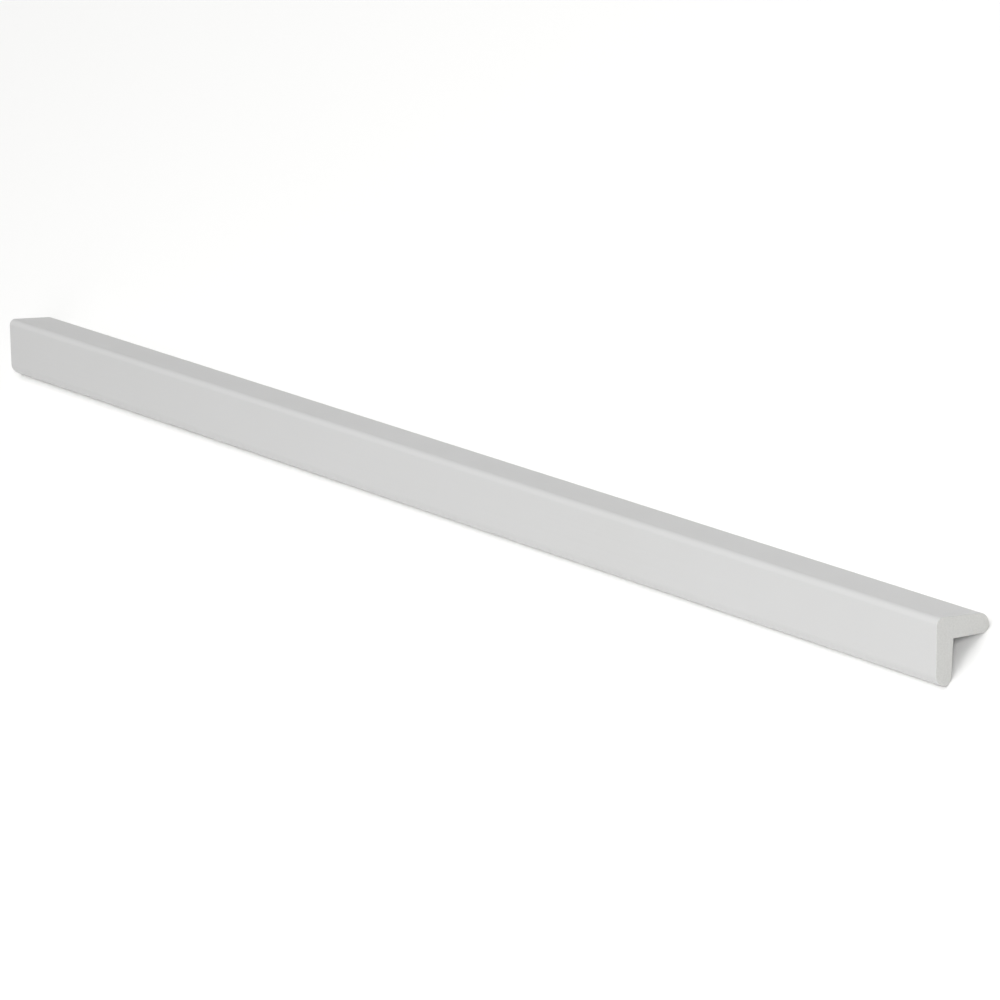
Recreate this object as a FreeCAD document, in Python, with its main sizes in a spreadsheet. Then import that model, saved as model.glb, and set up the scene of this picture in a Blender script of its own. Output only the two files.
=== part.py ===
# Corner guard moulding: one extruded length of white trim that covers the outside corner of a wall.
# The section is a right-angled L. Its legs thin towards their round tips, the outer corner is eased,
# and the inner corner is sharp, so that the guard sits tight on the wall.
#
# Millimetres. X runs along the length and Z is up. The guard lies as it rests on a level floor:
# outer corner on top, both tips on the floor, and the mirror line of the section on the Z axis.

import FreeCAD, Part
import Sketcher
import os
from math import radians, sqrt

doc = FreeCAD.newDocument("CornerGuard")

# Sizes, each written once
sizes = doc.addObject("Spreadsheet::Sheet", "Sizes")
size_rows = (
    ("leg_width", "19.05", "outer corner to the end of a leg, 3/4 in"),
    ("leg_thickness", "6.35", "thickness of a leg next to the outer corner, 1/4 in"),
    ("face_taper", "3", "degrees that each outer face leans in towards the wall"),
    ("corner_radius", "2", "easing of the outer corner"),
    ("nose_radius", "4", "rounding from the outer face towards the tip of a leg"),
    ("tip_radius", "2", "rounding of the tip, from the nose to the wall side"),
    ("stock_length", "457.2", "cut length, 18 in"),
)
for row, (alias, value, note) in enumerate(size_rows, start=1):
    sizes.set(f"A{row}", note)
    sizes.set(f"B{row}", value)
    sizes.setAlias(f"B{row}", alias)
doc.recompute()

# The body, and the sketch of its section, which looks along the length
body = doc.addObject("PartDesign::Body", "Guard")
body.Label = "corner_guard"
end_plane = next(f for f in body.Origin.OriginFeatures if f.Role == "YZ_Plane")
section = body.newObject("Sketcher::SketchObject", "Section")
section.AttachmentSupport = (end_plane, "")
section.MapMode = "FlatFace"

# The legs stand like a roof, each at 45 degrees to the floor
SLOPE = sqrt(0.5)
RIGHT, LEFT = 1, -1
UP_RIGHT, UP_LEFT, DOWN_LEFT, DOWN_RIGHT = range(45, 360, 90)


def on_leg(along, inward, side):
    """Sketch point on a leg of a plain L: along it from the outer corner, and inward from its outside."""
    corner_height = (sizes.leg_width + sizes.leg_thickness) * SLOPE
    across = side * (along - inward) * SLOPE
    return FreeCAD.Vector(across, corner_height - (along + inward) * SLOPE, 0)


def quarter(centre, radius, start):
    """Quarter circle that runs anticlockwise from a start angle in degrees."""
    circle = Part.Circle(centre, FreeCAD.Vector(0, 0, 1), radius)
    return Part.ArcOfCircle(circle, radians(start), radians(start + 90))


# The outline is drawn anticlockwise from the inner corner, as an L of even thickness.
# The rules and dimensions below then lean its outer faces in.
width, thickness = sizes.leg_width, sizes.leg_thickness
corner_r, nose_r, tip_r = sizes.corner_radius, sizes.nose_radius, sizes.tip_radius
ring = section.addGeometry(
    [
        Part.LineSegment(on_leg(thickness, thickness, RIGHT), on_leg(width - tip_r, thickness, RIGHT)),
        quarter(on_leg(width - tip_r, thickness - tip_r, RIGHT), tip_r, DOWN_LEFT),
        quarter(on_leg(width - nose_r, nose_r, RIGHT), nose_r, DOWN_RIGHT),
        Part.LineSegment(on_leg(width - nose_r, 0, RIGHT), on_leg(corner_r, 0, RIGHT)),
        quarter(on_leg(corner_r, corner_r, RIGHT), corner_r, UP_RIGHT),
        Part.LineSegment(on_leg(corner_r, 0, LEFT), on_leg(width - nose_r, 0, LEFT)),
        quarter(on_leg(width - nose_r, nose_r, LEFT), nose_r, UP_LEFT),
        quarter(on_leg(width - tip_r, thickness - tip_r, LEFT), tip_r, DOWN_LEFT),
        Part.LineSegment(on_leg(width - tip_r, thickness, LEFT), on_leg(thickness, thickness, LEFT)),
    ],
    False,
)
right_wall, right_tip, right_nose, right_face, corner, left_face, left_nose, left_tip, left_wall = ring
START, END, CENTRE = range(1, 4)
FLOOR, MIRROR = -1, -2

# Every stretch flows into the next one, apart from the sharp inner corner
rules = [Sketcher.Constraint("Tangent", a, END, b, START) for a, b in zip(ring, ring[1:])]
rules += [
    Sketcher.Constraint("Coincident", left_wall, END, right_wall, START),
    Sketcher.Constraint("Perpendicular", left_wall, right_wall),
    # Both legs are alike, and stand on the floor at their tips
    Sketcher.Constraint("PointOnObject", right_wall, START, MIRROR),
    Sketcher.Constraint("PointOnObject", corner, CENTRE, MIRROR),
    Sketcher.Constraint("Symmetric", left_nose, CENTRE, right_nose, CENTRE, MIRROR),
    Sketcher.Constraint("Equal", left_nose, right_nose),
    Sketcher.Constraint("Equal", left_tip, right_tip),
    Sketcher.Constraint("Tangent", right_tip, FLOOR),
    Sketcher.Constraint("Tangent", left_tip, FLOOR),
]
section.addConstraint(rules)

# The dimensions, bound to the sizes
dimensions = (
    ("corner", Sketcher.Constraint("Radius", corner, corner_r), "Sizes.corner_radius"),
    ("nose", Sketcher.Constraint("Radius", right_nose, nose_r), "Sizes.nose_radius"),
    ("tip", Sketcher.Constraint("Radius", right_tip, tip_r), "Sizes.tip_radius"),
    (
        "taper",
        Sketcher.Constraint("Angle", right_face, START, right_wall, END, radians(sizes.face_taper)),
        "Sizes.face_taper * 1 deg",
    ),
    (
        "depth",
        Sketcher.Constraint("Distance", corner, CENTRE, right_wall, thickness - corner_r),
        "Sizes.leg_thickness - Sizes.corner_radius",
    ),
    (
        "reach",
        Sketcher.Constraint("Distance", right_tip, CENTRE, left_wall, width - tip_r - thickness),
        "Sizes.leg_width - Sizes.tip_radius - Sizes.leg_thickness",
    ),
)
for name, dimension, size in dimensions:
    section.renameConstraint(section.addConstraint(dimension), name)
    section.setExpression(f"Constraints.{name}", size)

# The stock, cut square at both ends, with the origin halfway along it
stock = body.newObject("PartDesign::Pad", "Stock")
stock.Profile = section
stock.SideType = "Symmetric"
stock.setExpression("Length", "Sizes.stock_length")
doc.recompute()

for item in doc.Objects:
    if "Invalid" in item.State or "Error" in item.State:
        raise RuntimeError(f"{item.Label} did not build: {item.State}")
if body.Shape.isNull() or not body.Shape.isValid():
    raise RuntimeError("the guard is not a sound solid")

os.makedirs("parts", exist_ok=True)
body.Shape.exportStep(f"parts/{body.Label}.step")
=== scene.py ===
# Corner guard moulding: one length of white L-section trim, lying on a pale table with its outer corner up.
# Metres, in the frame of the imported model: X along the length, Z up, origin halfway along, on the table.

from math import asin, cos, pi, radians, sin, sqrt

import bpy
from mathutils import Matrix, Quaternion, Vector


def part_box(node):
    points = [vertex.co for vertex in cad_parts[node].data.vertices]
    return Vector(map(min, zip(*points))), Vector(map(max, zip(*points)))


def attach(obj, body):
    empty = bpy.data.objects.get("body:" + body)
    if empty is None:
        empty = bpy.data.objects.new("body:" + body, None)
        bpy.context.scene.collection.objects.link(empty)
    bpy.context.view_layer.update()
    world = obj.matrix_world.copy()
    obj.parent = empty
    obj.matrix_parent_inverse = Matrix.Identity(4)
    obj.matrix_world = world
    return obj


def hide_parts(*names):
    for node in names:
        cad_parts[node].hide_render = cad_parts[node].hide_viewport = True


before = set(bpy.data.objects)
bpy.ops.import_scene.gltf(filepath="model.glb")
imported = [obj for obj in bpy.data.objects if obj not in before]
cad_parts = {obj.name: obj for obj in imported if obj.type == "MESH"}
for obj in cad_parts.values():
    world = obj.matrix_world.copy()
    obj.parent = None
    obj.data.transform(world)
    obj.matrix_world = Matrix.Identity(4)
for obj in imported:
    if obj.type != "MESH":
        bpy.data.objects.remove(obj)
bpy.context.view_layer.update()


# The guard is one stick of rigid foamed PVC, pushed hot through a die in the shape of an L and cooled in a
# calibrator, so its outside is one closed white skin from tip to tip. The legs thin towards round tips, and
# the inner corner is left sharp to sit on the wall. The stick is cut square with a saw at both ends.
MM = 0.001
LEG_WIDTH = 19.05 * MM
LEG_THICKNESS = 6.35 * MM
FACE_TAPER = radians(3.0)
CORNER_RADIUS = 2.0 * MM
NOSE_RADIUS = 4.0 * MM
TIP_RADIUS = 2.0 * MM
SAW_ARRIS = 0.2 * MM

# How finely roundings are drawn, which edges stay crisp, and how near counts as touching
ARC_STEP = radians(3.0)
ARRIS_STEPS = 3
CREASE = radians(40.0)
CLOSE = 0.001 * MM

# Both legs slope at 45 degrees: a step along one goes this far sideways, and as far down
SLOPE = sqrt(0.5)

# Which way the outside and the wall side of the leg look, before the taper, and the turn from side to side
OUTSIDE = radians(45.0)
WALL_SIDE = radians(225.0)
QUARTER = radians(90.0)

cad_low, cad_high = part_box("corner_guard")
stock_length = cad_high.x - cad_low.x

# Centres of the roundings, as a distance along the leg from the sharp outer corner and a depth behind its
# outside. The nose touches the outer face, which leans in from the eased corner, and flows into the tip,
# which rests on the table.
tip_along = LEG_WIDTH - TIP_RADIUS
tip_depth = LEG_THICKNESS - TIP_RADIUS
nose_to_tip = NOSE_RADIUS - TIP_RADIUS
face_shift = CORNER_RADIUS * (1 + sin(FACE_TAPER) - cos(FACE_TAPER))
tip_from_face = tip_depth * cos(FACE_TAPER) - tip_along * sin(FACE_TAPER) + face_shift
tip_turn = FACE_TAPER + asin((tip_from_face - NOSE_RADIUS) / nose_to_tip)
nose_along = tip_along - nose_to_tip * cos(tip_turn)
nose_depth = tip_depth - nose_to_tip * sin(tip_turn)
sharp_corner_height = (tip_along + tip_depth) * SLOPE + TIP_RADIUS


def on_leg(along, depth):
    """Point of the section at the -X end, on the leg that slopes down towards +Y."""
    across = (along - depth) * SLOPE
    return Vector((cad_low.x, across, sharp_corner_height - (along + depth) * SLOPE))


def facing(angle):
    """Direction in the plane of the section, anticlockwise from +Y as seen from the +X end."""
    return Vector((0.0, cos(angle), sin(angle)))


def run_to(start, end):
    """Draws a straight stretch of the outline on from its last point."""
    bpy.ops.mesh.extrude_region_move(TRANSFORM_OT_translate={"value": end - start})


def sweep(centre, turn):
    """Sweeps the last point of the outline anticlockwise round a centre."""
    # Spin counts its angle the other way
    bpy.ops.mesh.spin(steps=round(turn / ARC_STEP), angle=-turn, center=centre, axis=(1.0, 0.0, 0.0))


inner_corner = on_leg(LEG_THICKNESS, LEG_THICKNESS)
tip_centre = on_leg(tip_along, tip_depth)
nose_centre = on_leg(nose_along, nose_depth)
corner_centre = on_leg(CORNER_RADIUS, CORNER_RADIUS)
wall_end = tip_centre + TIP_RADIUS * facing(WALL_SIDE)
nose_end = nose_centre + NOSE_RADIUS * facing(OUTSIDE - FACE_TAPER)
corner_start = corner_centre + CORNER_RADIUS * facing(OUTSIDE - FACE_TAPER)

# Half of the section: a small plane is gathered to one point at the inner corner and drawn out along the
# wall side, round the tip and the nose, up the outer face and over the outer corner to the mirror line
bpy.ops.object.select_all(action="DESELECT")
bpy.ops.mesh.primitive_plane_add(size=MM, location=inner_corner)
guard = bpy.context.object
guard.name = guard.data.name = "guard_stick"
bpy.ops.object.transform_apply(location=True, rotation=True, scale=True)
bpy.ops.object.mode_set(mode="EDIT")
bpy.ops.mesh.select_all(action="SELECT")
bpy.ops.mesh.merge(type="CENTER")
run_to(inner_corner, wall_end)
sweep(tip_centre, QUARTER - tip_turn)
sweep(nose_centre, QUARTER - FACE_TAPER + tip_turn)
run_to(nose_end, corner_start)
sweep(corner_centre, QUARTER / 2 + FACE_TAPER)

# The half section is filled and pushed along the length, a leg width at a time
push_steps = round(stock_length / LEG_WIDTH)
bpy.ops.mesh.select_all(action="SELECT")
bpy.ops.mesh.edge_face_add()
bpy.ops.mesh.extrude_repeat(steps=push_steps, offset=(stock_length / push_steps, 0.0, 0.0))
bpy.ops.object.mode_set(mode="OBJECT")


def pick(chosen, kind):
    """Selects only the chosen faces or edges of the guard, and leaves it in edit mode."""
    bpy.ops.object.mode_set(mode="EDIT")
    bpy.ops.mesh.select_mode(type=kind)
    bpy.ops.mesh.select_all(action="DESELECT")
    bpy.ops.object.mode_set(mode="OBJECT")
    items = guard.data.polygons if kind == "FACE" else guard.data.edges
    for item in items:
        item.select = chosen(item)
    bpy.ops.object.mode_set(mode="EDIT")


# The faces on the mirror line go, and the other leg is the mirror image of this one
pick(lambda face: abs(face.center.y) < CLOSE, "FACE")
bpy.ops.mesh.delete(type="FACE")
bpy.ops.object.mode_set(mode="OBJECT")
other_leg = guard.modifiers.new("other_leg", "MIRROR")
other_leg.use_axis = (False, True, False)
other_leg.merge_threshold = CLOSE
bpy.ops.object.modifier_apply(modifier=other_leg.name)
bpy.ops.object.mode_set(mode="EDIT")
bpy.ops.mesh.select_all(action="SELECT")
bpy.ops.mesh.remove_doubles(threshold=CLOSE)
bpy.ops.mesh.normals_make_consistent(inside=False)
bpy.ops.object.mode_set(mode="OBJECT")


def on_saw_cut(edge):
    """Edges round a sawn end, apart from the one that divides it on the mirror line."""
    ends = [guard.data.vertices[i].co for i in edge.vertices]
    at_cut = all(abs(abs(end.x) - stock_length / 2) < CLOSE for end in ends)
    return at_cut and any(abs(end.y) > CLOSE for end in ends)


# The saw leaves the edges of its cut very slightly blunt
pick(on_saw_cut, "EDGE")
bpy.ops.mesh.bevel(offset=SAW_ARRIS, segments=ARRIS_STEPS, affect="EDGES")
bpy.ops.object.mode_set(mode="OBJECT")

# Smooth roundings between flat faces: the flats keep their own direction
bpy.ops.object.shade_smooth_by_angle(angle=CREASE)
even_flats = guard.modifiers.new("even_flats", "WEIGHTED_NORMAL")
even_flats.keep_sharp = True
bpy.ops.object.modifier_apply(modifier=even_flats.name)


def linear(hex_colour):
    """An sRGB hex colour as linear RGBA."""
    parts = [int(hex_colour[i:i + 2], 16) / 255 for i in (1, 3, 5)]
    return [c / 12.92 if c <= 0.04045 else ((c + 0.055) / 1.055) ** 2.4 for c in parts] + [1.0]


def add_node(tree, kind, sockets=(), links=(), **settings):
    """Adds a node with its settings, its fixed inputs and the outputs that feed its other inputs."""
    node = tree.nodes.new(kind)
    for name, value in settings.items():
        setattr(node, name, value)
    for socket, value in dict(sockets).items():
        node.inputs[socket].default_value = value
    for socket, source in dict(links).items():
        tree.links.new(source, node.inputs[socket])
    return node


def new_material(name):
    """A new material, its node tree and its surface shader."""
    material = bpy.data.materials.new(name)
    material.use_nodes = True
    tree = material.node_tree
    return material, tree, tree.nodes["Principled BSDF"]


# Rigid foamed PVC with an extruded skin: an even, neutral white with a soft satin sheen. The die draws faint
# lines along the length, and the skin cools a little unevenly, so its sheen and tone drift slowly. Real die
# lines are finer than a tenth of a millimetre, so they are drawn coarser here, to show.
PVC_IOR = 1.53
SKIN_WHITE = "#D1D1D1"
SKIN_SHADE = "#CECECD"
SATIN_SMOOTH = 0.40
SATIN_DULL = 0.50
DIE_LINE = 1.1 * MM
DIE_LINE_RUN = 260 * MM
DIE_LINE_DEPTH = 0.06 * MM
DIE_LINE_STRENGTH = 0.6
TONE_DRIFT = 60 * MM
SHEEN_DRIFT = 14 * MM

# A Mix node's two colours and their mix, by number, because other sockets of it have the same names
MIX_A, MIX_B = 6, 7
MIX_RESULT = 2

skin, tree, shader = new_material("extruded_foamed_pvc_satin")
place = add_node(tree, "ShaderNodeTexCoord").outputs["Object"]
die_place = add_node(
    tree, "ShaderNodeMapping", {"Scale": (1 / DIE_LINE_RUN, 1 / DIE_LINE, 1 / DIE_LINE)}, {"Vector": place}
)
die_lines = add_node(
    tree,
    "ShaderNodeTexNoise",
    {"Scale": 1.0, "Detail": 3.0, "Roughness": 0.6},
    {"Vector": die_place.outputs["Vector"]},
)
die_relief = add_node(
    tree,
    "ShaderNodeBump",
    {"Strength": DIE_LINE_STRENGTH, "Distance": DIE_LINE_DEPTH},
    {"Height": die_lines.outputs["Fac"]},
)
tone = add_node(tree, "ShaderNodeTexNoise", {"Scale": 1 / TONE_DRIFT, "Detail": 2.0}, {"Vector": place})
white = add_node(
    tree,
    "ShaderNodeMix",
    {MIX_A: linear(SKIN_WHITE), MIX_B: linear(SKIN_SHADE)},
    {"Factor": tone.outputs["Fac"]},
    data_type="RGBA",
)
sheen = add_node(tree, "ShaderNodeTexNoise", {"Scale": 1 / SHEEN_DRIFT, "Detail": 3.0}, {"Vector": place})
satin = add_node(
    tree,
    "ShaderNodeMapRange",
    {"To Min": SATIN_SMOOTH, "To Max": SATIN_DULL},
    {"Value": sheen.outputs["Fac"]},
)
shader.inputs["IOR"].default_value = PVC_IOR
tree.links.new(white.outputs[MIX_RESULT], shader.inputs["Base Color"])
tree.links.new(satin.outputs["Result"], shader.inputs["Roughness"])
tree.links.new(die_relief.outputs["Normal"], shader.inputs["Normal"])

# The same PVC where the saw opened its foam: a duller, drier white with fine pores and the arcs of the
# blade. Real pores are about a tenth of a millimetre wide, so they are drawn coarser here too.
SAWN_WHITE = "#D2D2D0"
SAWN_PORE_SHADE = "#BFBFBC"
SAWN_ROUGHNESS = 0.62
PORE = 0.5 * MM
PORE_DEPTH = 0.05 * MM
PORE_STRENGTH = 0.3
BLADE_RADIUS = 125 * MM
TOOTH_MARK = 1.4 * MM
TOOTH_DEPTH = 0.04 * MM
TOOTH_STRENGTH = 0.35

# Spacing of the wave texture's own rings at a scale of 1
RING_SPACING = 2 * pi / 20

sawn, tree, shader = new_material("sawn_foamed_pvc")
place = add_node(tree, "ShaderNodeTexCoord").outputs["Object"]
pores = add_node(tree, "ShaderNodeTexNoise", {"Scale": 1 / PORE, "Detail": 2.0}, {"Vector": place})
# The pores are painted a little darker than the white: this is painted shade in their hollows, set by the
# same noise that sinks the pore bump.
pore_shaded_foam = add_node(
    tree,
    "ShaderNodeMix",
    {MIX_A: linear(SAWN_PORE_SHADE), MIX_B: linear(SAWN_WHITE)},
    {"Factor": pores.outputs["Fac"]},
    data_type="RGBA",
)

# The blade's axle stood above the leg on the -Y side, and its teeth drew arcs round that
blade_place = add_node(
    tree,
    "ShaderNodeMapping",
    {"Location": (0.0, BLADE_RADIUS * SLOPE, -BLADE_RADIUS * SLOPE)},
    {"Vector": place},
)
teeth = add_node(
    tree,
    "ShaderNodeTexWave",
    {"Scale": RING_SPACING / TOOTH_MARK, "Distortion": 1.5, "Detail": 2.0, "Detail Scale": 1.0},
    {"Vector": blade_place.outputs["Vector"]},
    wave_type="RINGS",
    rings_direction="X",
)
teeth_relief = add_node(
    tree,
    "ShaderNodeBump",
    {"Strength": TOOTH_STRENGTH, "Distance": TOOTH_DEPTH},
    {"Height": teeth.outputs["Fac"]},
)
pore_relief = add_node(
    tree,
    "ShaderNodeBump",
    {"Strength": PORE_STRENGTH, "Distance": PORE_DEPTH},
    {"Height": pores.outputs["Fac"], "Normal": teeth_relief.outputs["Normal"]},
)
shader.inputs["IOR"].default_value = PVC_IOR
shader.inputs["Roughness"].default_value = SAWN_ROUGHNESS
tree.links.new(pore_shaded_foam.outputs[MIX_RESULT], shader.inputs["Base Color"])
tree.links.new(pore_relief.outputs["Normal"], shader.inputs["Normal"])

# Faces that look along the length to within this angle are sawn, and all others have the skin
SAWN_WITHIN = radians(60.0)
guard.data.materials.append(skin)
guard.data.materials.append(sawn)
for face in guard.data.polygons:
    face.material_index = int(abs(face.normal.x) > cos(SAWN_WITHIN))

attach(guard, "root")
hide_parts("corner_guard")


# The table is a wide board faced with matt white laminate. It is only the stage: the guard lies loose on it,
# on its two tips, and the board reaches so far around that no edge of it shows.
TABLE_SIZE = 14.0
TABLE_WHITE = "#FBFBFA"
TABLE_ROUGHNESS = 0.8

bpy.ops.object.select_all(action="DESELECT")
bpy.ops.mesh.primitive_plane_add(size=TABLE_SIZE)
table = bpy.context.object
table.name = table.data.name = "table"
laminate, tree, shader = new_material("white_matt_laminate")
shader.inputs["Base Color"].default_value = linear(TABLE_WHITE)
shader.inputs["Roughness"].default_value = TABLE_ROUGHNESS
table.data.materials.append(laminate)


# Soft studio light: a white room all round, a wide ceiling of light as the main one, a softbox behind and
# above the camera that reaches in between the legs, and a weak one low down that fills the front.
ROOM_WHITE = "#FFFFFF"
ROOM_STRENGTH = 0.10

world = bpy.data.worlds.new("white_room")
bpy.context.scene.world = world
world.use_nodes = True
room = world.node_tree.nodes["Background"]
room.inputs["Color"].default_value = linear(ROOM_WHITE)
room.inputs["Strength"].default_value = ROOM_STRENGTH


def softbox(name, place, aim, size, power):
    """A square area light that faces a point."""
    bpy.ops.object.light_add(type="AREA", location=place)
    light = bpy.context.object
    light.name = light.data.name = name
    light.data.size = size
    light.data.energy = power
    light.rotation_euler = (Vector(place) - Vector(aim)).to_track_quat("Z", "Y").to_euler()


softbox("ceiling_softbox", place=(0.0, 0.0, 7.0), aim=(0.0, 0.0, 0.0), size=8.0, power=476.0)
softbox("camera_softbox", place=(1.75, -0.52, 1.6), aim=(0.04, 0.0, 0.0), size=0.5, power=22.3)
softbox("front_softbox", place=(0.25, -0.6, 0.4), aim=(0.1, 0.0, 0.0), size=0.5, power=0.92)


# The camera stands off the near end and in front, with a long lens, and is rolled so that the front leg
# looks upright, as in the photograph.
CAMERA_AIM = Vector((37.73, -2.80, 8.0)) * MM
CAMERA_AZIMUTH = radians(71.194)
CAMERA_ELEVATION = radians(36.050)
CAMERA_DISTANCE = 1295.6 * MM
CAMERA_ROLL = radians(-41.732)
CAMERA_NEAR_LIMIT = 10 * MM

# Blender takes these two in millimetres
CAMERA_LENS = 158.872
CAMERA_SENSOR = 36.0

towards_camera = Vector((
    cos(CAMERA_ELEVATION) * sin(CAMERA_AZIMUTH),
    -cos(CAMERA_ELEVATION) * cos(CAMERA_AZIMUTH),
    sin(CAMERA_ELEVATION),
))
bpy.ops.object.camera_add(location=CAMERA_AIM + CAMERA_DISTANCE * towards_camera)
camera = bpy.context.object
camera.name = camera.data.name = "camera"
camera.rotation_mode = "QUATERNION"
roll = Quaternion((0.0, 0.0, 1.0), CAMERA_ROLL)
camera.rotation_quaternion = towards_camera.to_track_quat("Z", "Y") @ roll
camera.data.sensor_width = CAMERA_SENSOR
camera.data.lens = CAMERA_LENS
camera.data.clip_start = CAMERA_NEAR_LIMIT
bpy.context.scene.camera = camera

# Plain sRGB keeps the whites as they are
bpy.context.scene.view_settings.view_transform = "Standard"
